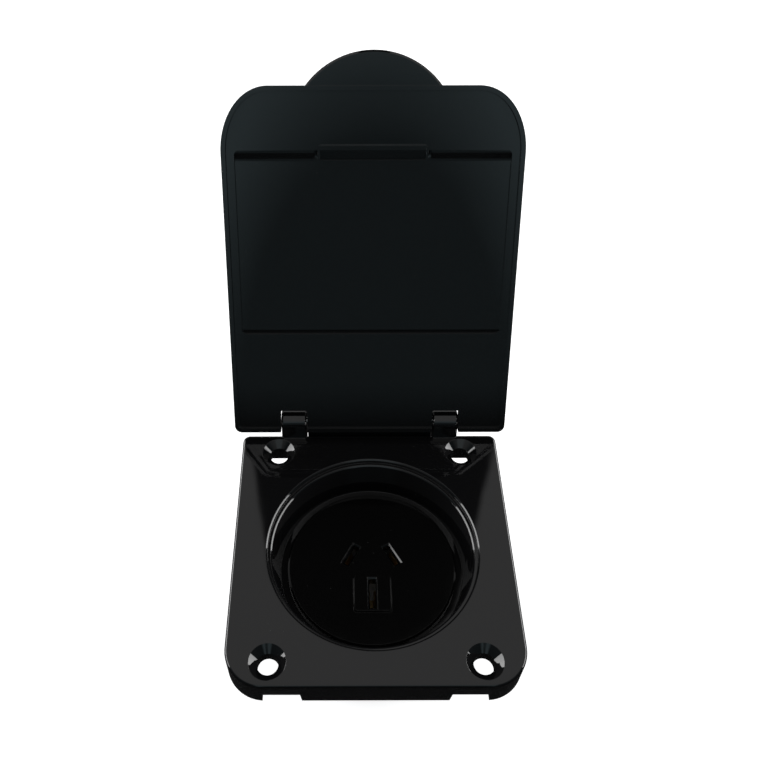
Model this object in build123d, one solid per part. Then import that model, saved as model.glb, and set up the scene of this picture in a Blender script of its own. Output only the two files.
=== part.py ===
from build123d import *
from math import cos, radians, sin
import os

# A caravan power outlet: a flush-mounted three-flat-pin socket behind a hinged lid.
# Frame, in millimetres: the origin is the centre of the round recess, on the flange's front face.
# +Z points out of the wall, +X runs along the hinge and +Y points towards the hinge.
# The lid is shaped shut and is then turned to its open stop, which is its pose at rest.

# Flange: its rims are measured from the recess's mouth
SIDE_RIM = 11.0
END_RIM = 11.0
FLANGE_HEIGHT = 11.0
FRONT_CORNER_R = 12.0
BACK_CORNER_R = 2.5
PLATE = 2.6
SKIRT_WALL = 2.5
TOP_EDGE_R = 1.2

# Mounting screw holes, measured in from the flange's edges
SCREW_INSET_X = 13.0
SCREW_INSET_Y = 7.5
SCREW_HOLE_R = 3.2
COUNTERSINK_R = 5.6
BOSS_WALL = 3.3
BOSS_LENGTH = 6.1

# Notches and finger grooves in the front skirt
NOTCH_OFFSET = 28.0
NOTCH_WIDTH = 11.2
NOTCH_HEIGHT = 4.7
NOTCH_SLANT = 0.5
GROOVE_COUNT = 2
GROOVE_WIDTH = 0.7
GROOVE_DEPTH = 0.6

# Recess: a cup sunk into the flange, with a step inside its mouth
FLOOR_MARGIN = 2.4
MOUTH_CHAMFER = 0.45
STEP_WIDTH = 1.4
STEP_DEPTH = 1.6
CUP_DEPTH = 14.4
CUP_TAPER = 2.2
CUP_WALL = 2.2
CUP_FLOOR = 2.4
REGISTER_HEIGHT = 2.0
REGISTER_WALL = 2.0

# Stiffening under the plate
RIB_WALL = 1.6
RIB_HEIGHT = 4.0
RING_WALL = 2.6

# Panel gasket, glued under the ring
GASKET_THICKNESS = 2.4
GASKET_WIDTH = 4.4
GASKET_GAP = 0.3

# Hinge
PIN_R = 1.25
PIN_FIT = 0.02
BARREL_FIT = 0.06
HINGE_BEHIND = 3.6
HINGE_ABOVE = 3.9
LUG_R = 3.9
LUG_WIDTH = 8.9
LUG_CENTRE_X = 26.7
LUG_FOOT = 1.4
LUG_ROOT = 8.0
LUG_CHAMFER = 0.6
BARREL_R = 3.4
BARREL_END_GAP = 0.35
OPEN_ANGLE = 117.8

# Lid: it reaches past the flange at the sides and the front, and past the pin at its heel
LID_SIDE_REACH = 2.5
LID_FRONT_REACH = 19.3
LID_HEEL = 2.7
LID_THICKNESS = 3.0
LID_GAP = 0.4
LID_CORNER_WIDTH = 15.0
LID_CORNER_LENGTH = 20.0
LID_HEEL_CORNER_R = 2.5
LID_LIP_WIDTH = 1.5
LID_LIP_HEIGHT = 0.9
LID_OUTER_EDGE_R = 1.2
LUG_CLEARANCE = 0.2
PANEL_INSET = 4.1
PANEL_DEPTH = 0.8
PANEL_FROM_HINGE = 33.6
PANEL_OVERRUN = 0.2
PANEL_CORNER_R = 1.5
TAB_R = 26.8
TAB_REACH = 10.1
TAB_THICKNESS = 2.0
TAB_CHAMFER = 0.6
CATCH_WIDTH = 33.0
CATCH_WALL = 1.4
CATCH_HEIGHT = 2.6
CATCH_GAP = 0.5
CATCH_RAMP_LENGTH = 3.0
CATCH_RAMP_DEPTH = 0.45
CATCH_END_WALL = 0.8
STOP_WALL = 2.4
STOP_GAP = 0.3
STOP_DEPTH = 2.6

# Socket insert
INSERT_BODY_R = 22.0
INSERT_RIM = 6.0
INSERT_FLANGE = 2.0
INSERT_WALL = 2.0
INSERT_FACE = 3.0
INSERT_LENGTH = 14.6
INSERT_FIT = 0.3
INSERT_CHAMFER = 0.6
PEG_R = 2.0
PEG_OFFSET = 3.6
PEG_FIT = 0.2
SEAL_WIDTH = 1.3
SEAL_HEIGHT = 1.1

# Pin positions and slots of the three-flat-pin face
PIN_SPREAD = 6.85
PIN_RISE = 3.96
EARTH_DROP = 10.31
PIN_TILT = 30.0
SLOT_LENGTH = 7.6
EARTH_SLOT_LENGTH = 10.2
SLOT_WIDTH = 2.2
SLOT_LEAD_IN = 0.5
EARTH_PAD_WIDTH = 12.6
EARTH_PAD_HEIGHT = 0.8
EARTH_PAD_MARGIN = 1.3
EARTH_PAD_CHAMFER = 0.4

# Contacts, carrier and terminals
CONTACT_SHEET = 0.6
CONTACT_HALF_FOOT = 2.3
CONTACT_HALF_THROAT = 0.65
CONTACT_HALF_MOUTH = 1.5
CONTACT_FLARE = 2.2
CONTACT_FACE_GAP = 2.4
CONTACT_LENGTH = 6.4
EARTH_CONTACT_LENGTH = 8.8
TAIL_LENGTH = 3.6
TAIL_WALL = 1.2
TAIL_FIT = 0.15
CARRIER_PLATE = 3.0
CARRIER_SCREW_INSET = 3.5
CARRIER_SCREW_ANGLE = 38.9
CARRIER_BOSS_R = 2.9
BLOCK_SIZE = 8.0
BLOCK_HEIGHT = 9.0
BLOCK_EDGE = 0.5
BLOCK_FIT = 0.12
POCKET_WALL = 1.2
POCKET_HEIGHT = 5.0
WIRE_R = 1.9
WIRE_DROP = 3.5

# Rear cover
COVER_WALL = 2.2
COVER_LENGTH = 34.0
COVER_FLOOR = 2.4
COVER_CHAMFER = 1.5
REGISTER_FIT = 0.2
POST_GAP = 0.6
POST_R = 2.8
POST_LENGTH = 14.0
COLUMN_R = 4.4
COUNTERBORE_R = 3.2
COUNTERBORE_DEPTH = 4.0

# Cable entry and cord clamp
CABLE_R = 4.3
CABLE_RISE = 9.8
ENTRY_R = 8.0
ENTRY_REACH = 2.2
ENTRY_LENGTH = 7.0
GROMMET_WALL = 1.9
GROMMET_FLANGE = 1.7
GROMMET_OUTER = 2.0
GROMMET_INNER = 1.3
GROMMET_LIP = 1.0
GROMMET_FIT = 0.05
CLAMP_Y = 18.6
CLAMP_DEPTH = 7.0
CLAMP_REACH = 12.6
CLAMP_BAR = 3.2
CLAMP_ARCH = 2.4
CLAMP_POST_X = 9.2
CLAMP_POST_R = 3.0
CLAMP_SQUEEZE = 0.3

# Screws: shank radius, head radius and head height
THREAD_FIT = 0.05
INSERT_SCREW = (1.2, 2.5, 1.8)
CARRIER_SCREW = (1.25, 2.5, 1.8)
TERMINAL_SCREW = (1.7, 2.5, 2.0)
COVER_SCREW = (1.45, 2.9, 2.2)
CLAMP_SCREW = (1.2, 2.5, 1.8)
DRIVE_SLOT = 0.7
DRIVE_DEPTH = 0.9

# Sizes and places worked out from the ones above, from the socket outwards
INSERT_FLANGE_R = INSERT_BODY_R + INSERT_RIM
PEG_CIRCLE_R = INSERT_BODY_R + PEG_OFFSET
POST_X = INSERT_BODY_R + POST_GAP + POST_R
CARRIER_SCREW_X = (INSERT_BODY_R - CARRIER_SCREW_INSET) * cos(radians(CARRIER_SCREW_ANGLE))
CARRIER_SCREW_Y = -(INSERT_BODY_R - CARRIER_SCREW_INSET) * sin(radians(CARRIER_SCREW_ANGLE))
CUP_FLOOR_R = INSERT_FLANGE_R + FLOOR_MARGIN
CUP_BORE_R = CUP_FLOOR_R + CUP_TAPER
MOUTH_R = CUP_BORE_R + STEP_WIDTH
COVER_R = CUP_FLOOR_R + CUP_WALL - REGISTER_WALL - REGISTER_FIT
FLANGE_WIDTH = 2 * (MOUTH_R + SIDE_RIM)
FLANGE_DEPTH = 2 * (MOUTH_R + END_RIM)
BACK = FLANGE_DEPTH / 2
FRONT = -FLANGE_DEPTH / 2
HINGE_Y = BACK + HINGE_BEHIND
HINGE_Z = HINGE_ABOVE
LID_WIDTH = FLANGE_WIDTH + 2 * LID_SIDE_REACH
LID_REACH = HINGE_BEHIND + FLANGE_DEPTH + LID_FRONT_REACH
CUP_UNDERSIDE = -(CUP_DEPTH + CUP_FLOOR)
RING_R = CUP_BORE_R + CUP_WALL + GASKET_GAP
FACE_Z = -CUP_DEPTH + INSERT_FLANGE
CARRIER_Z = -CUP_DEPTH - INSERT_LENGTH + INSERT_FLANGE
BLOCK_TOP = CARRIER_Z - CARRIER_PLATE
BLOCK_BOTTOM = BLOCK_TOP - BLOCK_HEIGHT
COVER_BOTTOM = CUP_UNDERSIDE - COVER_LENGTH
COVER_FLOOR_TOP = COVER_BOTTOM + COVER_FLOOR
CABLE_Z = COVER_BOTTOM + CABLE_RISE
SCREW_PLACES = [
    (sx * (FLANGE_WIDTH / 2 - SCREW_INSET_X), sy * (FLANGE_DEPTH / 2 - SCREW_INSET_Y))
    for sx in (-1, 1) for sy in (-1, 1)
]
LUG_PLACES = [-LUG_CENTRE_X, LUG_CENTRE_X]
BARREL_HALF = LUG_CENTRE_X - LUG_WIDTH / 2 - BARREL_END_GAP
LID_INNER = LID_GAP
LID_OUTER = LID_GAP + LID_THICKNESS
PANEL_FAR = FRONT - PANEL_OVERRUN
PANEL_NEAR = HINGE_Y - PANEL_FROM_HINGE
PANEL_Z = LID_INNER + PANEL_DEPTH
PINS = {
    "active": (-PIN_SPREAD, PIN_RISE, -PIN_TILT, SLOT_LENGTH, CONTACT_LENGTH),
    "neutral": (PIN_SPREAD, PIN_RISE, PIN_TILT, SLOT_LENGTH, CONTACT_LENGTH),
    "earth": (0.0, -EARTH_DROP, 0.0, EARTH_SLOT_LENGTH, EARTH_CONTACT_LENGTH),
}


def rod(radius, low, high, x=0.0, y=0.0):
    """An upright cylinder between two heights."""
    return Pos(x, y, (low + high) / 2) * Cylinder(radius, high - low)


def rod_x(radius, low, high, y, z):
    """A cylinder along the hinge's direction between two places in X."""
    return Pos((low + high) / 2, y, z) * Rot(0, 90, 0) * Cylinder(radius, high - low)


def rod_y(radius, low, high, x, z):
    """A cylinder along Y between two places in Y."""
    return Pos(x, (low + high) / 2, z) * Rot(90, 0, 0) * Cylinder(radius, high - low)


def block(x, y, z):
    """A box from three (low, high) pairs."""
    centre = [(low + high) / 2 for low, high in (x, y, z)]
    return Pos(*centre) * Box(x[1] - x[0], y[1] - y[0], z[1] - z[0])


def turned(points):
    """A solid of revolution about Z from its half section, as (radius, height) points."""
    return revolve(Plane.XZ * make_face(Polyline(*points, close=True)), Axis.Z)


def flange_outline(inset):
    """The flange's outline, with large front corners and small back ones."""
    outline = Rectangle(FLANGE_WIDTH - 2 * inset, FLANGE_DEPTH - 2 * inset)
    outline = fillet(outline.vertices().sort_by(Axis.Y)[:2], FRONT_CORNER_R - inset)
    return fillet(outline.vertices().sort_by(Axis.Y)[-2:], max(BACK_CORNER_R - inset, 0.4))


def countersunk_hole(x, y):
    """The cutter for one mounting screw: a ninety-degree cone above a plain hole."""
    sink = COUNTERSINK_R - SCREW_HOLE_R
    cone = Pos(x, y, -sink / 2) * Cone(SCREW_HOLE_R, COUNTERSINK_R, sink)
    return cone + rod(SCREW_HOLE_R, -FLANGE_HEIGHT, 0, x, y)


def flange_shell():
    """The skirted plate with its bosses, ribs and gasket ring."""
    shell = extrude(flange_outline(0), -FLANGE_HEIGHT)
    shell = fillet(shell.faces().sort_by(Axis.Z)[-1].edges(), TOP_EDGE_R)
    shell -= Pos(0, 0, -PLATE) * extrude(flange_outline(SKIRT_WALL), -FLANGE_HEIGHT)
    for x, y in SCREW_PLACES:
        shell += rod(SCREW_HOLE_R + BOSS_WALL, -BOSS_LENGTH, -PLATE, x, y)
    ring_low = -FLANGE_HEIGHT + GASKET_THICKNESS
    shell += rod(RING_R + RING_WALL, ring_low, -PLATE) - rod(RING_R, ring_low, -PLATE)
    side = FLANGE_WIDTH / 2 - SKIRT_WALL
    end = FLANGE_DEPTH / 2 - SKIRT_WALL
    half = RIB_WALL / 2
    rib_z = (-PLATE - RIB_HEIGHT, -PLATE)
    for sign in (-1, 1):
        shell += block(sorted((sign * RING_R, sign * side)), (-half, half), rib_z)
        shell += block((-half, half), sorted((sign * RING_R, sign * end)), rib_z)
    return shell


def hinge_lug(x):
    """One base lug: a rounded ear over the pin, on a root that runs down the back wall."""
    foot_y = BACK - LUG_FOOT
    root_y = BACK - SKIRT_WALL / 2
    low_z = -PLATE / 2
    outline = [
        Line((foot_y, low_z), (foot_y, 0)),
        Line((foot_y, 0), (HINGE_Y - LUG_R, HINGE_Z)),
        ThreePointArc(
            (HINGE_Y - LUG_R, HINGE_Z), (HINGE_Y, HINGE_Z + LUG_R), (HINGE_Y + LUG_R, HINGE_Z)
        ),
        Line((HINGE_Y + LUG_R, HINGE_Z), (HINGE_Y + LUG_R, low_z)),
        Line((HINGE_Y + LUG_R, low_z), (root_y, -LUG_ROOT)),
        Line((root_y, -LUG_ROOT), (root_y, low_z)),
        Line((root_y, low_z), (foot_y, low_z)),
    ]
    ear = extrude(Plane.YZ * make_face(outline), LUG_WIDTH)
    rims = ear.faces().filter_by(Axis.X).edges().filter_by(
        lambda edge: edge.center().Y > foot_y and edge.center().Z > 0
    )
    return Pos(x - LUG_WIDTH / 2, 0, 0) * chamfer(rims, LUG_CHAMFER)


def skirt_notches():
    """The cutters for the two notches and the finger grooves above them."""
    cutters = []
    top = -FLANGE_HEIGHT + NOTCH_HEIGHT
    inner = FRONT + SKIRT_WALL
    for sign in (-1, 1):
        near = sign * (NOTCH_OFFSET - NOTCH_WIDTH / 2)
        far = sign * (NOTCH_OFFSET + NOTCH_WIDTH / 2)
        corners = [
            (near, top),
            (near - sign * NOTCH_SLANT, -FLANGE_HEIGHT),
            (far, -FLANGE_HEIGHT),
            (far, top),
        ]
        face = Plane.XZ * make_face(Polyline(*corners, close=True))
        cutters.append(Pos(0, inner, 0) * extrude(face, SKIRT_WALL))
        pitch = (-top - TOP_EDGE_R) / (GROOVE_COUNT + 1)
        for number in range(GROOVE_COUNT):
            z = top + pitch * (number + 1) - GROOVE_WIDTH / 2
            across = sorted((near, far))
            cutters.append(block(across, (FRONT, FRONT + GROOVE_DEPTH), (z, z + GROOVE_WIDTH)))
    return cutters


def base_flange():
    """The one-piece base moulding: flange, recess cup, hinge lugs and cover posts."""
    body = flange_shell()
    outer_top = CUP_BORE_R + CUP_WALL
    outer_low = CUP_FLOOR_R + CUP_WALL
    body += turned([
        (0, -PLATE), (outer_top, -PLATE), (outer_low, CUP_UNDERSIDE), (0, CUP_UNDERSIDE)
    ])
    for x in LUG_PLACES:
        body += hinge_lug(x)
    body += rod(outer_low, CUP_UNDERSIDE - REGISTER_HEIGHT, CUP_UNDERSIDE) - rod(
        COVER_R + REGISTER_FIT, CUP_UNDERSIDE - REGISTER_HEIGHT, CUP_UNDERSIDE
    )
    for sign in (-1, 1):
        body += rod(POST_R, CUP_UNDERSIDE - POST_LENGTH, CUP_UNDERSIDE, sign * POST_X)

    edge = MOUTH_CHAMFER
    body -= turned([
        (0, 0), (MOUTH_R + edge, 0), (MOUTH_R, -edge), (MOUTH_R, -STEP_DEPTH),
        (CUP_BORE_R + edge, -STEP_DEPTH), (CUP_BORE_R, -STEP_DEPTH - edge),
        (CUP_FLOOR_R, -CUP_DEPTH), (0, -CUP_DEPTH),
    ])
    body -= rod(INSERT_BODY_R + INSERT_FIT, CUP_UNDERSIDE, -CUP_DEPTH)
    body -= rod(INSERT_BODY_R + SEAL_WIDTH + INSERT_FIT, -CUP_DEPTH - SEAL_HEIGHT, -CUP_DEPTH)
    for sign in (-1, 1):
        body -= rod(PEG_R + PEG_FIT, CUP_UNDERSIDE, -CUP_DEPTH, 0, sign * PEG_CIRCLE_R)
        pilot = COVER_SCREW[0] + THREAD_FIT
        body -= rod(pilot, CUP_UNDERSIDE - POST_LENGTH, CUP_UNDERSIDE, sign * POST_X)
    for x, y in SCREW_PLACES:
        body -= countersunk_hole(x, y)
    for cutter in skirt_notches():
        body -= cutter
    reach = LUG_CENTRE_X + LUG_WIDTH / 2
    return body - rod_x(PIN_R + PIN_FIT, -reach, reach, HINGE_Y, HINGE_Z)


def lid_y(distance):
    """The place in Y, with the lid shut, of a point so far from the hinge pin."""
    return HINGE_Y - distance


def lid_outline(inset=0.0):
    """The lid's outline seen from the front, without its tab."""
    half = LID_WIDTH / 2 - inset
    heel = lid_y(-LID_HEEL) - inset
    end = lid_y(LID_REACH) + inset
    shoulder = end + LID_CORNER_LENGTH - inset
    width = LID_CORNER_WIDTH - inset
    length = LID_CORNER_LENGTH - inset
    edges = [
        Line((half, shoulder), (half, heel)),
        Line((half, heel), (-half, heel)),
        Line((-half, heel), (-half, shoulder)),
        Line((-half + width, end), (half - width, end)),
        EllipticalCenterArc((-half + width, shoulder), width, length, 180, arc_size=90),
        EllipticalCenterArc((half - width, shoulder), width, length, 270, arc_size=90),
    ]
    face = make_face(edges)
    corners = face.vertices().sort_by(Axis.Y)[-2:]
    return fillet(corners, max(LID_HEEL_CORNER_R - inset, 0.4))


def finger_tab():
    """The half-moon tab at the lid's free end."""
    y = lid_y(LID_REACH + TAB_REACH) + TAB_R
    low = LID_INNER + (LID_THICKNESS - TAB_THICKNESS) / 2
    tab = rod(TAB_R, low, low + TAB_THICKNESS, 0, y)
    tab = chamfer(tab.edges().filter_by(GeomType.CIRCLE), TAB_CHAMFER)
    root = lid_y(LID_REACH) + LID_LIP_WIDTH
    return tab & block((-TAB_R, TAB_R), (y - TAB_R, root), (LID_INNER, LID_OUTER))


def inner_panel():
    """The cutter for the sunk panel in the lid's inner face, with the ramp that leads to the catch."""
    panel = Pos(0, (PANEL_FAR + PANEL_NEAR) / 2, LID_INNER) * extrude(
        RectangleRounded(LID_WIDTH - 2 * PANEL_INSET, PANEL_NEAR - PANEL_FAR, PANEL_CORNER_R),
        PANEL_DEPTH,
    )
    ramp_end = PANEL_FAR + CATCH_RAMP_LENGTH
    ramp = make_face(Polyline(
        (PANEL_FAR, PANEL_Z), (ramp_end, PANEL_Z), (ramp_end, PANEL_Z + CATCH_RAMP_DEPTH),
        close=True,
    ))
    return panel + Pos(-CATCH_WIDTH / 2, 0, 0) * extrude(Plane.YZ * ramp, CATCH_WIDTH)


def catch():
    """The rib that snaps over the flange's front edge, and the low walls beside its ramp."""
    near = FRONT - CATCH_GAP
    half = CATCH_WIDTH / 2
    rib = block((-half, half), (near - CATCH_WALL, near), (LID_INNER - CATCH_HEIGHT, PANEL_Z))
    for sign in (-1, 1):
        across = sorted((sign * half, sign * (half + CATCH_END_WALL)))
        rib += block(across, (PANEL_FAR, PANEL_FAR + CATCH_RAMP_LENGTH), (LID_INNER, PANEL_Z))
    return rib


def lug_notches():
    """The cutters for the notches that let the lugs through the lid."""
    half = LUG_WIDTH / 2 + LUG_CLEARANCE
    along = (BACK - LUG_FOOT - LUG_CLEARANCE, HINGE_Y + LUG_R)
    depth = (LID_INNER - LID_LIP_HEIGHT, LID_OUTER)
    return [block((x - half, x + half), along, depth) for x in LUG_PLACES]


def lid_shut():
    """The lid as it lies shut over the flange."""
    plate = Pos(0, 0, LID_INNER) * extrude(lid_outline(), LID_THICKNESS)
    plate = fillet(plate.faces().sort_by(Axis.Z)[-1].edges(), LID_OUTER_EDGE_R)
    lip = extrude(lid_outline() - lid_outline(LID_LIP_WIDTH), -LID_LIP_HEIGHT)
    plate += Pos(0, 0, LID_INNER) * lip
    plate += finger_tab()
    plate += rod_x(BARREL_R, -BARREL_HALF, BARREL_HALF, HINGE_Y, HINGE_Z)
    plate += stop_rib()
    plate -= inner_panel()
    plate += catch()
    for notch in lug_notches():
        plate -= notch
    return plate - rod_x(PIN_R + BARREL_FIT, -LUG_CENTRE_X, LUG_CENTRE_X, HINGE_Y, HINGE_Z)


def stop_rib():
    """The rib under the barrel that meets the back of the flange when the lid is fully open."""
    meet_y = BACK + STOP_GAP
    open_rib = block(
        (-BARREL_HALF, BARREL_HALF),
        (meet_y, meet_y + STOP_WALL),
        (-TOP_EDGE_R - STOP_DEPTH, HINGE_Z - BARREL_R / 2),
    )
    return open_rib.rotate(Axis((0, HINGE_Y, HINGE_Z), (1, 0, 0)), OPEN_ANGLE)


def lid():
    """The lid turned to its open stop."""
    return lid_shut().rotate(Axis((0, HINGE_Y, HINGE_Z), (1, 0, 0)), -OPEN_ANGLE)


def hinge_pin():
    """The plain steel pin through both lugs and the lid's barrel."""
    reach = LUG_CENTRE_X + LUG_WIDTH / 2
    return rod_x(PIN_R, -reach, reach, HINGE_Y, HINGE_Z)


def panel_gasket():
    """The foam ring between the flange and the wall it is screwed to."""
    low, high = -FLANGE_HEIGHT, -FLANGE_HEIGHT + GASKET_THICKNESS
    return rod(RING_R + GASKET_WIDTH, low, high) - rod(RING_R, low, high)


def slot_outline(name, grow=0.0):
    """The slot of one pin, in plan."""
    x, y, tilt, length, _ = PINS[name]
    return Pos(x, y) * Rot(0, 0, tilt) * Rectangle(SLOT_WIDTH + 2 * grow, length + 2 * grow)


def socket_insert():
    """The socket's face, its skirt and the two pegs that locate it in the recess floor."""
    face = rod(INSERT_FLANGE_R, -CUP_DEPTH, FACE_Z)
    face = chamfer(face.edges().group_by(Axis.Z)[-1], INSERT_CHAMFER)
    body = face + rod(INSERT_BODY_R, CARRIER_Z, -CUP_DEPTH)
    cavity_top = FACE_Z - INSERT_FACE
    body -= rod(INSERT_BODY_R - INSERT_WALL, CARRIER_Z, cavity_top)
    for sign in (-1, 1):
        x = sign * CARRIER_SCREW_X
        body += rod(CARRIER_BOSS_R, CARRIER_Z, cavity_top, x, CARRIER_SCREW_Y) - rod(
            CARRIER_SCREW[0] + THREAD_FIT, CARRIER_Z, cavity_top, x, CARRIER_SCREW_Y
        )
        peg_y = sign * PEG_CIRCLE_R
        body += rod(PEG_R, CUP_UNDERSIDE + PEG_FIT, -CUP_DEPTH, 0, peg_y)
        body -= rod(
            INSERT_SCREW[0] + THREAD_FIT, CUP_UNDERSIDE + PEG_FIT, -CUP_DEPTH + INSERT_FLANGE / 2,
            0, peg_y,
        )
    pad_length = EARTH_SLOT_LENGTH + 2 * EARTH_PAD_MARGIN
    pad = Pos(0, -EARTH_DROP, FACE_Z) * extrude(
        RectangleRounded(EARTH_PAD_WIDTH, pad_length, EARTH_PAD_MARGIN), EARTH_PAD_HEIGHT
    )
    body += chamfer(pad.edges().group_by(Axis.Z)[-1], EARTH_PAD_CHAMFER)
    for name in PINS:
        top = FACE_Z + (EARTH_PAD_HEIGHT if name == "earth" else 0)
        body -= Pos(0, 0, top) * extrude(slot_outline(name), -INSERT_FACE - EARTH_PAD_HEIGHT)
        lead = loft([
            Pos(0, 0, top - SLOT_LEAD_IN) * slot_outline(name),
            Pos(0, 0, top) * slot_outline(name, SLOT_LEAD_IN),
        ])
        body -= lead
    return body


def insert_seal():
    """The rubber ring under the insert's flange."""
    low, high = -CUP_DEPTH - SEAL_HEIGHT, -CUP_DEPTH
    inner = INSERT_BODY_R + PIN_FIT
    return rod(inner + SEAL_WIDTH, low, high) - rod(inner, low, high)


def contact(name):
    """One spring contact: a folded brass clip whose two leaves grip the pin."""
    x, y, tilt, _, length = PINS[name]
    top = FACE_Z - INSERT_FACE - CONTACT_FACE_GAP
    throat = top - CONTACT_FLARE
    outer = [
        (CONTACT_HALF_FOOT, CARRIER_Z),
        (CONTACT_HALF_THROAT + CONTACT_SHEET, throat),
        (CONTACT_HALF_MOUTH + CONTACT_SHEET, top),
    ]
    inner = [
        (CONTACT_HALF_MOUTH, top),
        (CONTACT_HALF_THROAT, throat),
        (CONTACT_HALF_FOOT - CONTACT_SHEET, CARRIER_Z + CONTACT_SHEET),
    ]
    right = outer + inner
    section = right + [(-px, pz) for px, pz in reversed(right)]
    clip = Pos(0, length / 2, 0) * extrude(
        Plane.XZ * make_face(Polyline(*section, close=True)), length
    )
    half = TAIL_WALL / 2
    tail = block((-half, half), (-TAIL_LENGTH / 2, TAIL_LENGTH / 2), (BLOCK_TOP, CARRIER_Z))
    return Pos(x, y, 0) * Rot(0, 0, tilt) * (clip + tail)


def contact_carrier():
    """The insulating plate behind the insert, with a tail slot and a pocket for each terminal."""
    plate = rod(INSERT_BODY_R, BLOCK_TOP, CARRIER_Z)
    hole = BLOCK_SIZE / 2 + BLOCK_FIT
    wall = hole + POCKET_WALL
    for x, y, tilt, _, _ in PINS.values():
        pocket = block((-wall, wall), (-wall, wall), (BLOCK_TOP - POCKET_HEIGHT, BLOCK_TOP))
        pocket -= block((-hole, hole), (-hole, hole), (BLOCK_TOP - POCKET_HEIGHT, BLOCK_TOP))
        pocket -= block(
            (-WIRE_R, WIRE_R), (-wall, wall),
            (BLOCK_TOP - POCKET_HEIGHT, BLOCK_TOP - WIRE_DROP + WIRE_R),
        )
        plate += Pos(x, y, 0) * pocket
    for x, y, tilt, _, _ in PINS.values():
        half_x, half_y = TAIL_WALL / 2 + TAIL_FIT, TAIL_LENGTH / 2 + TAIL_FIT
        slot = block((-half_x, half_x), (-half_y, half_y), (BLOCK_TOP, CARRIER_Z))
        plate -= Pos(x, y, 0) * Rot(0, 0, tilt) * slot
    for sign in (-1, 1):
        plate -= rod(
            CARRIER_SCREW[0] + INSERT_FIT, BLOCK_TOP, CARRIER_Z,
            sign * CARRIER_SCREW_X, CARRIER_SCREW_Y,
        )
    return plate


def terminal(name):
    """One brass tunnel terminal: a block with a wire bore and a threaded hole under it."""
    x, y = PINS[name][:2]
    half = BLOCK_SIZE / 2
    body = block((-half, half), (-half, half), (BLOCK_BOTTOM, BLOCK_TOP))
    body = chamfer(body.edges().filter_by(Axis.Z), BLOCK_EDGE)
    wire_z = BLOCK_TOP - WIRE_DROP
    body -= rod_y(WIRE_R, -half, half, 0, wire_z)
    body -= rod(TERMINAL_SCREW[0] + THREAD_FIT, BLOCK_BOTTOM, wire_z)
    return Pos(x, y, 0) * body


def screw(sizes, seat, tip, x, y, up):
    """A slotted cheese-head screw; up is 1 where its tip points to +Z and -1 where to -Z."""
    shank, head, height = sizes
    low, high = sorted((seat, tip))
    body = rod(shank, low, high, x, y)
    end = seat - up * height
    low, high = sorted((seat, end))
    body += rod(head, low, high, x, y)
    low, high = sorted((end, end + up * DRIVE_DEPTH))
    return body - block((x - head, x + head), (y - DRIVE_SLOT / 2, y + DRIVE_SLOT / 2), (low, high))


def pair(make):
    """The same piece on both sides of the middle, from a function of the side's sign."""
    return Compound([make(-1), make(1)])


def insert_screws():
    """The two screws that draw the insert down from behind the recess floor."""
    tip = -CUP_DEPTH + INSERT_FLANGE / 4
    return pair(lambda s: screw(INSERT_SCREW, CUP_UNDERSIDE, tip, 0, s * PEG_CIRCLE_R, 1))


def carrier_screws():
    """The two screws that hold the carrier on the insert."""
    tip = CARRIER_Z + (FACE_Z - INSERT_FACE - CARRIER_Z) * 0.6
    return pair(lambda s: screw(
        CARRIER_SCREW, BLOCK_TOP, tip, s * CARRIER_SCREW_X, CARRIER_SCREW_Y, 1))


def terminal_screws():
    """The three wire screws, one in each terminal."""
    tip = BLOCK_TOP - WIRE_DROP - WIRE_R
    return Compound([
        screw(TERMINAL_SCREW, BLOCK_BOTTOM, tip, x, y, 1) for x, y, _, _, _ in PINS.values()
    ])


def cover_screws():
    """The two long screws that hold the rear cover."""
    seat = COVER_BOTTOM + COUNTERBORE_DEPTH
    tip = CUP_UNDERSIDE - POST_LENGTH / 3
    return pair(lambda s: screw(COVER_SCREW, seat, tip, s * POST_X, 0, 1))


def clamp_top():
    """The height of the cord clamp's seat on its posts."""
    return CABLE_Z - CLAMP_SQUEEZE


def clamp_screws():
    """The two screws that press the cord clamp down."""
    seat = clamp_top() + CLAMP_BAR
    tip = COVER_FLOOR_TOP + CLAMP_SQUEEZE
    return pair(lambda s: screw(CLAMP_SCREW, seat, tip, s * CLAMP_POST_X, CLAMP_Y, -1))


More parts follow.
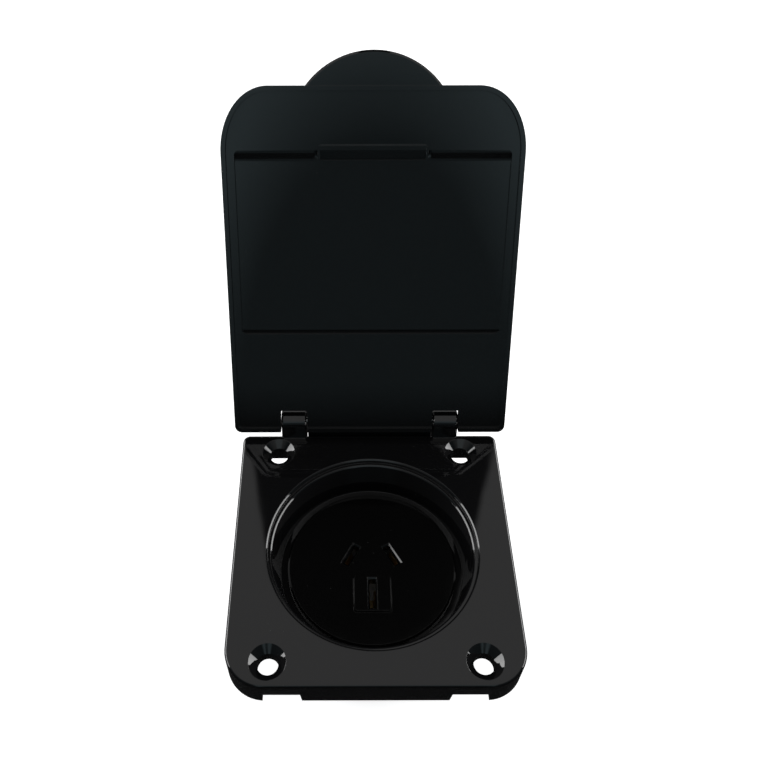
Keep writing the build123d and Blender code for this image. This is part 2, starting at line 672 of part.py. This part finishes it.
def rear_cover():
    """The round cover over the terminals, with the cable entry and the clamp's posts."""
    body = rod(COVER_R, COVER_BOTTOM, CUP_UNDERSIDE)
    body = chamfer(body.edges().group_by(Axis.Z)[0], COVER_CHAMFER)
    entry_face = COVER_R + ENTRY_REACH
    entry_inner = entry_face - ENTRY_LENGTH
    body += rod_y(ENTRY_R, COVER_R / 2, entry_face, 0, CABLE_Z)
    inside = rod(COVER_R - COVER_WALL, COVER_FLOOR_TOP, CUP_UNDERSIDE)
    entry_block = rod_y(ENTRY_R, entry_inner, entry_face, 0, CABLE_Z)
    body -= inside - entry_block
    bore = CABLE_R + GROMMET_WALL
    body -= rod_y(bore, entry_inner, entry_face, 0, CABLE_Z)
    for sign in (-1, 1):
        x = sign * POST_X
        high = CUP_UNDERSIDE - POST_LENGTH
        column = rod(COLUMN_R, COVER_BOTTOM + COVER_CHAMFER, high, x)
        body += column & rod(COVER_R - COVER_WALL / 2, COVER_BOTTOM, high)
        body -= rod(COVER_SCREW[0] + INSERT_FIT, COVER_BOTTOM, high, x)
        body -= rod(COUNTERBORE_R, COVER_BOTTOM, COVER_BOTTOM + COUNTERBORE_DEPTH, x)
        post_x = sign * CLAMP_POST_X
        body += rod(CLAMP_POST_R, COVER_FLOOR_TOP - COVER_FLOOR / 2, clamp_top(), post_x, CLAMP_Y)
        body -= rod(CLAMP_SCREW[0] + THREAD_FIT, COVER_FLOOR_TOP, clamp_top(), post_x, CLAMP_Y)
    half = CLAMP_DEPTH / 2
    saddle = block(
        (-CABLE_R, CABLE_R),
        (CLAMP_Y - half, CLAMP_Y + half),
        (COVER_FLOOR_TOP - COVER_FLOOR / 2, CABLE_Z - CABLE_R / 2),
    )
    return body + (saddle - rod_y(CABLE_R, CLAMP_Y - half, CLAMP_Y + half, 0, CABLE_Z))


def cable_grommet():
    """The rubber grommet in the cable entry, with a lip on each side of its wall."""
    outer = COVER_R + ENTRY_REACH
    inner = outer - ENTRY_LENGTH
    bore = CABLE_R + GROMMET_WALL
    body = rod_y(bore - GROMMET_FIT, inner, outer, 0, CABLE_Z)
    body += rod_y(bore + GROMMET_FLANGE, outer, outer + GROMMET_OUTER, 0, CABLE_Z)
    body += rod_y(bore + GROMMET_LIP, inner - GROMMET_INNER, inner, 0, CABLE_Z)
    return body - rod_y(CABLE_R, inner - GROMMET_INNER, outer + GROMMET_OUTER, 0, CABLE_Z)


def cord_clamp():
    """The arched bar that holds the cable's sheath."""
    seat = clamp_top()
    half = CLAMP_DEPTH / 2
    across = (CLAMP_Y - half, CLAMP_Y + half)
    bar = block((-CLAMP_REACH, CLAMP_REACH), across, (seat, seat + CLAMP_BAR))
    arch = CABLE_R + CLAMP_ARCH
    bar += rod_y(arch, *across, 0, CABLE_Z) & block((-arch, arch), across, (seat, CABLE_Z + arch))
    bar -= rod_y(CABLE_R, *across, 0, CABLE_Z)
    for sign in (-1, 1):
        hole = CLAMP_SCREW[0] + INSERT_FIT
        bar -= rod(hole, seat, seat + CLAMP_BAR, sign * CLAMP_POST_X, CLAMP_Y)
    return bar


NODES = {
    "base_flange": base_flange,
    "lid": lid,
    "hinge_pin": hinge_pin,
    "panel_gasket": panel_gasket,
    "socket_insert": socket_insert,
    "insert_seal": insert_seal,
    "insert_screws": insert_screws,
    "contact_active": lambda: contact("active"),
    "contact_neutral": lambda: contact("neutral"),
    "contact_earth": lambda: contact("earth"),
    "contact_carrier": contact_carrier,
    "carrier_screws": carrier_screws,
    "terminal_active": lambda: terminal("active"),
    "terminal_neutral": lambda: terminal("neutral"),
    "terminal_earth": lambda: terminal("earth"),
    "terminal_screws": terminal_screws,
    "rear_cover": rear_cover,
    "cover_screws": cover_screws,
    "cable_grommet": cable_grommet,
    "cord_clamp": cord_clamp,
    "clamp_screws": clamp_screws,
}

os.makedirs("parts", exist_ok=True)
for node, make in NODES.items():
    export_step(make(), f"parts/{node}.step")
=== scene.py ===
from math import cos, radians, sin

import bmesh
import bpy
from mathutils import Matrix, Vector


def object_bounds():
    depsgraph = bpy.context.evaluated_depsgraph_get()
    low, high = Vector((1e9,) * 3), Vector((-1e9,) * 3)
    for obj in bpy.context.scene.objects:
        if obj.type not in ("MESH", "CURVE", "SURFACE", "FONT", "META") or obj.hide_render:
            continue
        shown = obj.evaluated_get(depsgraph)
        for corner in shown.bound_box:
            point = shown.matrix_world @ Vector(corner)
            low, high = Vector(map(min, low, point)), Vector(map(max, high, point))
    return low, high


# A flush-mounted power outlet in gloss black plastic, with its weather lid standing open.
# All lengths are in metres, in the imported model's own frame: +Z out of the wall, +Y to the hinge.

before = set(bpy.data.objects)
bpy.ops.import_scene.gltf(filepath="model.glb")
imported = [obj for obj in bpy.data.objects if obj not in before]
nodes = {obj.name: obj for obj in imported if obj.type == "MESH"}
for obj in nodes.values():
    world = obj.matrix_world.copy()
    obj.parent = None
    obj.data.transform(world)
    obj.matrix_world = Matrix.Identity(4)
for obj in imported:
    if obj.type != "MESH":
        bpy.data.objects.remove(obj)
cad_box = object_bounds()

MM = 0.001
BLACK = (0.0, 0.0, 0.0)
WHITE = (1.0, 1.0, 1.0)

# Colours of the finishes
BASE_BLACK = (0.0035, 0.0035, 0.0038)
LID_BLACK = (0.004, 0.0045, 0.0048)
INSERT_BLACK = (0.002, 0.002, 0.002)
COVER_BLACK = (0.014, 0.014, 0.015)
RUBBER_BLACK = (0.012, 0.012, 0.012)
FOAM_BLACK = (0.02, 0.02, 0.02)
INSULATOR_CREAM = (0.5, 0.49, 0.45)
TARNISHED_BRASS = (0.42, 0.3, 0.14)
ZINC_STEEL = (0.62, 0.62, 0.61)
DUST_COLOUR = (0.3, 0.3, 0.3)

# What the gloss finishes share
GLOSS_BUMP = 0.012 * MM
GLOSS_DUST = 0.15
IOR = 1.5

# The mould's surface: how many waves and grains there are in a metre
WAVE_SCALE = 70
WAVE_DETAIL = 1.5
GRAIN_SCALE = 2600
GRAIN_DETAIL = 2

# Handling marks and dust: their scales, and the part of each noise that shows
PATCH_SCALE = 45
PATCH_DETAIL = 5
PATCH_ROUGHNESS = 0.6
PATCH_RANGE = (0.35, 0.7)
SPECK_SCALE = 420
SPECK_RADIUS = (0.02, 0.07)
DUSTY_SCALE = 90
DUSTY_DETAIL = 2
DUSTY_RANGE = (0.52, 0.62)

# The polish of metals
POLISH_SCALE = 900
POLISH_DETAIL = 4
POLISH_RANGE = (0.3, 0.7)
METAL_GRAIN_SCALE = 5000
METAL_GRAIN_DETAIL = 2
METAL_BUMP = 0.01 * MM

# The softening of the moulded edges
EDGE_RADIUS = 0.25 * MM
LID_EDGE_RADIUS = 0.08 * MM
INSERT_EDGE_RADIUS = 0.12 * MM
EDGE_SAMPLES = 6

# The lid's pin and opening angle
LID_PIN_Y = 48.6 * MM
LID_PIN_Z = 3.9 * MM
LID_ANGLE = radians(117.8)

# The lid's sunk panel: its two ends by their distance from the pin, and how far its floor lies
# inwards of the pin. The slope leaves out the finger tab, further out, and the catch's own width.
PANEL_FOOT = (33.7 * MM, 35.0 * MM)
PANEL_HEAD = (90.4 * MM, 93.8 * MM)
PANEL_END_SLOPE = 0.14
PANEL_FLOOR_BETWEEN = (2.2 * MM, 3.1 * MM)
PANEL_END_BEFORE = 100 * MM
CATCH_SIDE = (17.3 * MM, 18.5 * MM)

# The photograph's camera, for a square image
IMAGE_SIDE = 757
FOCAL_PIXELS = 822.8
PRINCIPAL_X = 340.3
SENSOR = 36.0
CLIP_START = 10 * MM
CAMERA_PLACE = Vector((-10.5, -131.4, 236.9)) * MM
CAMERA_PITCH = radians(49.41)
CAMERA_YAW = radians(0.05)
CAMERA_ROLL = radians(-0.08)

# The levels of the studio's light
CEILING_LEVEL = 0.62
FRONT_TINT = (0.76, 1.0, 1.08)
FRONT_LEVEL = 0.5
FRONT_SIDE_LEVEL = 0.08
HORIZON_LEVEL = 0.02

# Where one level turns into the next, in the sideways, backward or upward part of a direction
FRONT_SIDE_EDGE = (0.25, 0.4)
CEILING_FRONT_EDGE = (0.45, 0.75)
CEILING_BACK_EDGE = (-0.1, 0.25)
HORIZON_EDGE = (0.05, 0.1)

# The dark gap at the camera: where it is in the sideways and upward parts of a direction
CAMERA_GAP_LEVEL = 0.13
CAMERA_GAP_MIDDLE = 0.04
CAMERA_GAP_HALF_WIDTH = 0.19
CAMERA_GAP_FOOT = 0.07
CAMERA_GAP_HEIGHT = 0.37
CAMERA_GAP_EDGE = (0.7, 1.4)

# The dark gap in the ceiling behind the part, a painted dark reflection that only gloss sees: its
# sides point at the camera, and its front is round. The slopes are those of lines from the camera,
# sideways by backwards.
BACK_GAP_LEVEL = 0.02
BACK_GAP_Z = 0.7
BACK_GAP_SLOPE = 0.08
BACK_GAP_HALF_SLOPE = 0.264
BACK_GAP_RIGHT_SLOPE = 0.32
BACK_GAP_FRONT = 0.256
BACK_GAP_SHOULDER = 0.363
BACK_GAP_END = 1.3
BACK_GAP_EDGE = (0.96, 1.04)
BACK_GAP_RIGHT_EDGE = (0.98 * BACK_GAP_RIGHT_SLOPE, 1.02 * BACK_GAP_RIGHT_SLOPE)

OVAL_POWER = 2.0

# The floor, and how bright gloss sees it in front of and behind the part: in gloss the floor is a
# painted reflection, a fixed glow
FLOOR_SIDE = 12.0
FLOOR_COLOUR = (0.9, 0.9, 0.9)
FLOOR_ROUGHNESS = 0.9
FLOOR_GLOW = 0.62
FLOOR_IN_GLOSS = 0.015
FLOOR_BEHIND_IN_GLOSS = 0.5
FLOOR_REFLECTION_TURNS_PALE = (0.15, 0.5)

SIDE_LAMP_PLACE = (0.8, 0.24, 0.2)
SIDE_LAMP_LENGTH = 0.85
SIDE_LAMP_HEIGHT = 0.32
SIDE_LAMP_POWER = 5.4


def feed(tree, socket, value):
    """Gives an input its value, by a link if the value is a socket."""
    if isinstance(value, bpy.types.NodeSocket):
        tree.links.new(value, socket)
    else:
        socket.default_value = value


def grey(level):
    """A colour without a tint."""
    return (level, level, level)


def coordinates(tree, vector):
    """The X, Y and Z of a vector."""
    split = tree.nodes.new("ShaderNodeSeparateXYZ")
    tree.links.new(vector, split.inputs["Vector"])
    return [split.outputs[axis] for axis in "XYZ"]


def noise(tree, vector, scale, detail, roughness=0.5):
    """A noise texture on the given coordinates."""
    node = tree.nodes.new("ShaderNodeTexNoise")
    node.inputs["Scale"].default_value = scale
    node.inputs["Detail"].default_value = detail
    node.inputs["Roughness"].default_value = roughness
    tree.links.new(vector, node.inputs["Vector"])
    return node.outputs["Fac"]


def spread(tree, value, between, to=(0.0, 1.0), smooth=False):
    """A value mapped from one range to another, held at its ends."""
    node = tree.nodes.new("ShaderNodeMapRange")
    if smooth:
        node.interpolation_type = "SMOOTHSTEP"
    labels = ("From Min", "From Max", "To Min", "To Max")
    for label, limit in zip(labels, (*between, *to)):
        feed(tree, node.inputs[label], limit)
    tree.links.new(value, node.inputs["Value"])
    return node.outputs["Result"]


def compute(tree, operation, first, second=0.0):
    """One arithmetic step between sockets or numbers."""
    node = tree.nodes.new("ShaderNodeMath")
    node.operation = operation
    feed(tree, node.inputs[0], first)
    feed(tree, node.inputs[1], second)
    return node.outputs[0]


def product(tree, first, *others):
    """Sockets multiplied together."""
    for other in others:
        first = compute(tree, "MULTIPLY", first, other)
    return first


def blend(tree, factor, first, second):
    """A mix of two colours, each a socket or three numbers."""
    node = tree.nodes.new("ShaderNodeMix")
    node.data_type = "RGBA"
    tree.links.new(factor, node.inputs[0])
    for socket, colour in ((node.inputs[6], first), (node.inputs[7], second)):
        is_socket = isinstance(colour, bpy.types.NodeSocket)
        feed(tree, socket, colour if is_socket else (*colour, 1))
    return node.outputs[2]


def mix_shaders(tree, factor, first, second):
    """The first shader where the factor is 0, and the second where it is 1."""
    node = tree.nodes.new("ShaderNodeMixShader")
    for socket, source in zip(node.inputs, (factor, first, second)):
        tree.links.new(source, socket)
    return node.outputs[0]


def emission(tree, strength):
    """White light of a given strength."""
    node = tree.nodes.new("ShaderNodeEmission")
    node.inputs["Color"].default_value = (*WHITE, 1)
    feed(tree, node.inputs["Strength"], strength)
    return node.outputs[0]


def new_group(name, settings, outputs):
    """A new shader node group on a vector, with its settings' first values, and its two ends."""
    group = bpy.data.node_groups.new(name, "ShaderNodeTree")
    group.interface.new_socket("Vector", in_out="INPUT", socket_type="NodeSocketVector")
    for label, value in settings.items():
        socket = group.interface.new_socket(label, in_out="INPUT", socket_type="NodeSocketFloat")
        socket.default_value = value
    for label in outputs:
        group.interface.new_socket(label, in_out="OUTPUT", socket_type="NodeSocketFloat")
    start = group.nodes.new("NodeGroupInput").outputs
    end = group.nodes.new("NodeGroupOutput").inputs
    return group, start, end


def use_group(tree, name, vector, **settings):
    """A node group on a vector, with its settings. Gives the group's outputs."""
    node = tree.nodes.new("ShaderNodeGroup")
    node.node_tree = bpy.data.node_groups[name]
    for label, value in settings.items():
        node.inputs[label].default_value = value
    tree.links.new(vector, node.inputs["Vector"])
    return node.outputs


def make_moulded_skin():
    """The slight waviness of a moulded surface, with a finer grain over it."""
    group, start, end = new_group("moulded_skin", {"Wave": 1.0, "Grain": 0.2}, ["Height"])
    wave = noise(group, start["Vector"], WAVE_SCALE, WAVE_DETAIL)
    grain = noise(group, start["Vector"], GRAIN_SCALE, GRAIN_DETAIL)
    waves = product(group, wave, start["Wave"])
    grains = product(group, grain, start["Grain"])
    group.links.new(compute(group, "ADD", waves, grains), end["Height"])


def make_handling_marks():
    """Patches where fingers and cloths have dulled a surface, and fine dust on it."""
    group, start, end = new_group(
        "handling_marks", {"Low": 0.08, "High": 0.2, "Dust": 0.3}, ["Roughness", "Dust"]
    )
    patches = noise(group, start["Vector"], PATCH_SCALE, PATCH_DETAIL, PATCH_ROUGHNESS)
    rough = spread(group, patches, PATCH_RANGE, (start["Low"], start["High"]))
    group.links.new(rough, end["Roughness"])
    specks = group.nodes.new("ShaderNodeTexVoronoi")
    specks.inputs["Scale"].default_value = SPECK_SCALE
    group.links.new(start["Vector"], specks.inputs["Vector"])
    near = spread(group, specks.outputs["Distance"], SPECK_RADIUS, (1.0, 0.0))
    where = spread(group, noise(group, start["Vector"], DUSTY_SCALE, DUSTY_DETAIL), DUSTY_RANGE)
    group.links.new(product(group, near, where, start["Dust"]), end["Dust"])


def new_material(name, colour, metallic=0.0):
    """A Principled material, with its tree, its shader and the object's coordinates."""
    material = bpy.data.materials.new(name)
    material.use_nodes = True
    tree = material.node_tree
    shader = tree.nodes["Principled BSDF"]
    shader.inputs["Base Color"].default_value = (*colour, 1)
    shader.inputs["Metallic"].default_value = metallic
    shader.inputs["IOR"].default_value = IOR
    place = tree.nodes.new("ShaderNodeTexCoord").outputs["Object"]
    return material, tree, shader, place


def add_bump(tree, shader, height, distance, edge_radius=0.0):
    """A bump from a height in units of a distance, over edges softened to a small radius."""
    bump = tree.nodes.new("ShaderNodeBump")
    bump.inputs["Distance"].default_value = distance
    tree.links.new(height, bump.inputs["Height"])
    if edge_radius:
        edge = tree.nodes.new("ShaderNodeBevel")
        edge.samples = EDGE_SAMPLES
        edge.inputs["Radius"].default_value = edge_radius
        tree.links.new(edge.outputs["Normal"], bump.inputs["Normal"])
    tree.links.new(bump.outputs["Normal"], shader.inputs["Normal"])


def weighted_sum(tree, values, weights):
    """The sum of two values, each times a number."""
    first, second = (product(tree, value, weight) for value, weight in zip(values, weights))
    return compute(tree, "ADD", first, second)


def panel_end(tree, along, between, height_unit):
    """The smooth rise of the sunk panel's floor between two distances from the pin."""
    start, end = between
    rise = PANEL_END_SLOPE / height_unit * (end - start)
    return spread(tree, along, between, (0.0, rise), smooth=True)


def lid_ramps(tree, place, height_unit):
    """The slight slopes of the lid's sunk panel at its two ends, as a height in the given unit."""
    x, y, z = coordinates(tree, place)
    from_pin = (
        compute(tree, "SUBTRACT", y, LID_PIN_Y),
        compute(tree, "SUBTRACT", z, LID_PIN_Z),
    )
    along = weighted_sum(tree, from_pin, (-cos(LID_ANGLE), sin(LID_ANGLE)))
    inwards = weighted_sum(tree, from_pin, (-sin(LID_ANGLE), -cos(LID_ANGLE)))
    foot = panel_end(tree, along, PANEL_FOOT, height_unit)
    head = panel_end(tree, along, PANEL_HEAD, height_unit)
    beside_catch = spread(tree, compute(tree, "ABSOLUTE", x), CATCH_SIDE)
    ramps = compute(tree, "ADD", foot, product(tree, head, beside_catch))
    low, high = PANEL_FLOOR_BETWEEN
    return product(
        tree, ramps,
        compute(tree, "GREATER_THAN", inwards, low),
        compute(tree, "LESS_THAN", inwards, high),
        compute(tree, "LESS_THAN", along, PANEL_END_BEFORE),
    )


def plastic(name, colour, roughness, wave, grain, bump, dust, specular=0.5,
            edge_radius=EDGE_RADIUS, shape=None):
    """A moulded plastic or rubber with handling marks, dust and the mould's surface."""
    material, tree, shader, place = new_material(name, colour)
    shader.inputs["Specular IOR Level"].default_value = specular
    low, high = roughness
    marks = use_group(tree, "handling_marks", place, Low=low, High=high, Dust=dust)
    tree.links.new(marks["Roughness"], shader.inputs["Roughness"])
    tree.links.new(blend(tree, marks["Dust"], colour, DUST_COLOUR), shader.inputs["Base Color"])
    height = use_group(tree, "moulded_skin", place, Wave=wave, Grain=grain)["Height"]
    if shape:
        height = compute(tree, "ADD", height, shape(tree, place, bump))
    add_bump(tree, shader, height, bump, edge_radius)
    return material


def metal(name, colour, roughness):
    """A worked metal with fine variation in its polish."""
    material, tree, shader, place = new_material(name, colour, metallic=1.0)
    polish = spread(tree, noise(tree, place, POLISH_SCALE, POLISH_DETAIL), POLISH_RANGE, roughness)
    tree.links.new(polish, shader.inputs["Roughness"])
    grain = noise(tree, place, METAL_GRAIN_SCALE, METAL_GRAIN_DETAIL)
    add_bump(tree, shader, grain, METAL_BUMP)
    return material


def dress(material, *names):
    """Puts one material on CAD nodes."""
    for name in names:
        data = nodes[name].data
        data.materials.clear()
        data.materials.append(material)
        for polygon in data.polygons:
            polygon.material_index = 0


def dress_shell():
    """The gloss plastic that the photograph shows."""
    base = plastic(
        "gloss_black", BASE_BLACK, roughness=(0.02, 0.05), wave=1.0, grain=0.04,
        bump=GLOSS_BUMP, dust=GLOSS_DUST,
    )
    lid = plastic(
        "gloss_black_lid", LID_BLACK, roughness=(0.03, 0.06), wave=1.0, grain=0.04,
        bump=GLOSS_BUMP, dust=GLOSS_DUST, edge_radius=LID_EDGE_RADIUS, shape=lid_ramps,
    )
    insert = plastic(
        "gloss_black_insert", INSERT_BLACK, roughness=(0.05, 0.08), wave=1.0, grain=0.05,
        bump=GLOSS_BUMP, dust=GLOSS_DUST, specular=0.35, edge_radius=INSERT_EDGE_RADIUS,
    )
    dress(base, "base_flange")
    dress(lid, "lid")
    dress(insert, "socket_insert")


def dress_rear():
    """The plain plastics and rubbers behind the flange and inside."""
    cover = plastic(
        "matte_black", COVER_BLACK, roughness=(0.45, 0.6), wave=0.3, grain=1.0,
        bump=0.03 * MM, dust=0.25,
    )
    insulator = plastic(
        "insulator", INSULATOR_CREAM, roughness=(0.4, 0.55), wave=0.3, grain=0.6,
        bump=0.02 * MM, dust=0.1,
    )
    rubber = plastic(
        "rubber", RUBBER_BLACK, roughness=(0.6, 0.75), wave=0.3, grain=1.0,
        bump=0.03 * MM, dust=0.4,
    )
    foam = plastic(
        "foam_rubber", FOAM_BLACK, roughness=(0.85, 0.95), wave=0.2, grain=1.0,
        bump=0.12 * MM, dust=0.4,
    )
    dress(cover, "rear_cover", "cord_clamp")
    dress(insulator, "contact_carrier")
    dress(rubber, "insert_seal", "cable_grommet")
    dress(foam, "panel_gasket")


def dress_metals():
    """The contacts, the terminals, the screws and the hinge pin."""
    brass = metal("brass", TARNISHED_BRASS, roughness=(0.3, 0.5))
    steel = metal("steel", ZINC_STEEL, roughness=(0.22, 0.36))
    for pole in ("active", "neutral", "earth"):
        dress(brass, f"contact_{pole}", f"terminal_{pole}")
    dress(
        steel, "hinge_pin", "insert_screws", "carrier_screws", "terminal_screws",
        "cover_screws", "clamp_screws",
    )


def add_camera():
    """The camera of the photograph."""
    data = bpy.data.cameras.new("camera")
    data.sensor_width = SENSOR
    data.lens = FOCAL_PIXELS / IMAGE_SIDE * SENSOR
    data.shift_x = (IMAGE_SIDE / 2 - PRINCIPAL_X) / IMAGE_SIDE
    data.clip_start = CLIP_START
    camera = bpy.data.objects.new("camera", data)
    bpy.context.scene.collection.objects.link(camera)
    forward = Vector((
        sin(CAMERA_YAW) * cos(CAMERA_PITCH), cos(CAMERA_YAW) * cos(CAMERA_PITCH), -sin(CAMERA_PITCH)
    ))
    level = Vector((cos(CAMERA_YAW), -sin(CAMERA_YAW), 0))
    upright = level.cross(forward)
    right = cos(CAMERA_ROLL) * level + sin(CAMERA_ROLL) * upright
    up = cos(CAMERA_ROLL) * upright - sin(CAMERA_ROLL) * level
    turn = Matrix((right, up, -forward)).transposed().to_4x4()
    camera.matrix_world = Matrix.Translation(CAMERA_PLACE) @ turn
    bpy.context.scene.camera = camera


def oval(tree, across, along, middle, half_width, foot, height):
    """How far out a place lies from a rounded shape: under 1 inside it and over 1 outside.

    The shape stands on its foot line, below which its sides run straight down."""
    sideways = compute(tree, "ABSOLUTE", compute(tree, "SUBTRACT", across, middle))
    above = compute(tree, "MAXIMUM", compute(tree, "SUBTRACT", along, foot))
    width_part = compute(tree, "POWER", compute(tree, "DIVIDE", sideways, half_width), OVAL_POWER)
    height_part = compute(tree, "POWER", compute(tree, "DIVIDE", above, height), OVAL_POWER)
    return compute(tree, "ADD", width_part, height_part)


def studio_light(tree, direction):
    """The studio's light by direction: a pale ceiling, a dimmer front and a dark horizon."""
    x, y, z = coordinates(tree, direction)
    camera_gap = oval(
        tree, x, z, CAMERA_GAP_MIDDLE, CAMERA_GAP_HALF_WIDTH, CAMERA_GAP_FOOT, CAMERA_GAP_HEIGHT
    )
    middle_level = spread(tree, camera_gap, CAMERA_GAP_EDGE, (CAMERA_GAP_LEVEL, FRONT_LEVEL))
    beside = spread(tree, compute(tree, "ABSOLUTE", x), FRONT_SIDE_EDGE)
    level = spread(tree, beside, (0.0, 1.0), (middle_level, FRONT_SIDE_LEVEL))
    ceiling = grey(CEILING_LEVEL)
    front = blend(tree, level, BLACK, FRONT_TINT)
    front = blend(tree, spread(tree, z, CEILING_FRONT_EDGE), front, ceiling)
    around = blend(tree, spread(tree, y, CEILING_BACK_EDGE), front, ceiling)
    return blend(tree, spread(tree, z, HORIZON_EDGE), grey(HORIZON_LEVEL), around)


def add_world():
    """White behind the object, and the studio in its light and in what it mirrors."""
    world = bpy.data.worlds.new("studio")
    world.use_nodes = True
    bpy.context.scene.world = world
    tree = world.node_tree
    tree.nodes.clear()
    direction = tree.nodes.new("ShaderNodeTexCoord").outputs["Generated"]
    studio = tree.nodes.new("ShaderNodeBackground")
    tree.links.new(studio_light(tree, direction), studio.inputs["Color"])
    white = tree.nodes.new("ShaderNodeBackground")
    white.inputs["Color"].default_value = (*WHITE, 1)
    path = tree.nodes.new("ShaderNodeLightPath").outputs
    shown = compute(tree, "MAXIMUM", path["Is Camera Ray"], path["Is Transmission Ray"])
    surface = mix_shaders(tree, shown, studio.outputs[0], white.outputs[0])
    tree.links.new(surface, tree.nodes.new("ShaderNodeOutputWorld").inputs["Surface"])


def add_sheet(name, x, y, z):
    """A level rectangle of the studio, between two places in X and two in Y."""
    shape = bmesh.new()
    # The grid's size is half its side, so this is a square of one metre to stretch
    bmesh.ops.create_grid(shape, x_segments=1, y_segments=1, size=0.5)
    bmesh.ops.scale(shape, vec=(x[1] - x[0], y[1] - y[0], 1), verts=shape.verts)
    bmesh.ops.translate(shape, vec=((x[0] + x[1]) / 2, (y[0] + y[1]) / 2, z), verts=shape.verts)
    mesh = bpy.data.meshes.new(name)
    shape.to_mesh(mesh)
    shape.free()
    sheet = bpy.data.objects.new(name, mesh)
    bpy.context.scene.collection.objects.link(sheet)
    return sheet


def add_back_gap():
    """The dark gap in the ceiling, which only gloss sees: a painted dark reflection, which neither
    lights nor shades anything.
    """
    half = BACK_GAP_END / 2
    gap = add_sheet("ceiling_gap", (-half, half), (0, BACK_GAP_END), BACK_GAP_Z)
    gap.visible_camera = False
    gap.visible_diffuse = False
    gap.visible_shadow = False
    gap.visible_transmission = False
    material = bpy.data.materials.new("ceiling_gap")
    material.use_nodes = True
    tree = material.node_tree
    tree.nodes.clear()
    x, y, _ = coordinates(tree, tree.nodes.new("ShaderNodeTexCoord").outputs["Object"])
    slope = compute(
        tree, "DIVIDE",
        compute(tree, "SUBTRACT", x, CAMERA_PLACE.x),
        compute(tree, "SUBTRACT", y, CAMERA_PLACE.y),
    )
    before_shoulder = compute(tree, "SUBTRACT", BACK_GAP_SHOULDER, y)
    edge = oval(
        tree, slope, before_shoulder, BACK_GAP_SLOPE, BACK_GAP_HALF_SLOPE,
        0.0, BACK_GAP_SHOULDER - BACK_GAP_FRONT,
    )
    inside = product(
        tree,
        spread(tree, edge, BACK_GAP_EDGE, (1.0, 0.0)),
        spread(tree, slope, BACK_GAP_RIGHT_EDGE, (1.0, 0.0)),
    )
    clear = tree.nodes.new("ShaderNodeBsdfTransparent").outputs[0]
    # The painted dark reflection inside the gap's outline, and nothing outside it
    surface = mix_shaders(tree, inside, clear, emission(tree, BACK_GAP_LEVEL))
    tree.links.new(surface, tree.nodes.new("ShaderNodeOutputMaterial").inputs["Surface"])
    gap.data.materials.append(material)


def add_floor():
    """The pale floor under the part, with the part's shadow on it, and dimmer in gloss, where it
    shows a painted reflection instead of its lit self.
    """
    low, _ = cad_box
    half = FLOOR_SIDE / 2
    floor = add_sheet("floor", (-half, half), (-half, half), low[2])
    material, tree, shader, place = new_material("floor", FLOOR_COLOUR)
    shader.inputs["Roughness"].default_value = FLOOR_ROUGHNESS
    shader.inputs["Specular IOR Level"].default_value = 0.0
    lit = shader.outputs[0]
    glowing = tree.nodes.new("ShaderNodeAddShader")
    tree.links.new(lit, glowing.inputs[0])
    tree.links.new(emission(tree, FLOOR_GLOW), glowing.inputs[1])
    _, y, _ = coordinates(tree, place)
    # Painted reflection: gloss sees the floor as a glow, dark in front of the part and pale behind
    # it
    level = spread(tree, y, FLOOR_REFLECTION_TURNS_PALE, (FLOOR_IN_GLOSS, FLOOR_BEHIND_IN_GLOSS))
    path = tree.nodes.new("ShaderNodeLightPath").outputs
    seen = mix_shaders(tree, path["Is Camera Ray"], lit, glowing.outputs[0])
    surface = mix_shaders(tree, path["Is Glossy Ray"], seen, emission(tree, level))
    tree.links.new(surface, tree.nodes["Material Output"].inputs["Surface"])
    floor.data.materials.append(material)


def add_side_lamp(side):
    """One long soft lamp beside the part, which draws the light lines on its edges."""
    data = bpy.data.lights.new("side_lamp", "AREA")
    data.shape = "RECTANGLE"
    data.size = SIDE_LAMP_LENGTH
    data.size_y = SIDE_LAMP_HEIGHT
    data.energy = SIDE_LAMP_POWER
    lamp = bpy.data.objects.new("side_lamp", data)
    bpy.context.scene.collection.objects.link(lamp)
    across, behind, above = SIDE_LAMP_PLACE
    lamp.location = (side * across, behind, above)
    lamp.rotation_euler = (-lamp.location).to_track_quat("-Z", "Y").to_euler()


make_moulded_skin()
make_handling_marks()
dress_shell()
dress_rear()
dress_metals()
add_camera()
add_world()
add_back_gap()
add_floor()
for side in (-1, 1):
    add_side_lamp(side)
bpy.context.scene.view_settings.view_transform = "Standard"
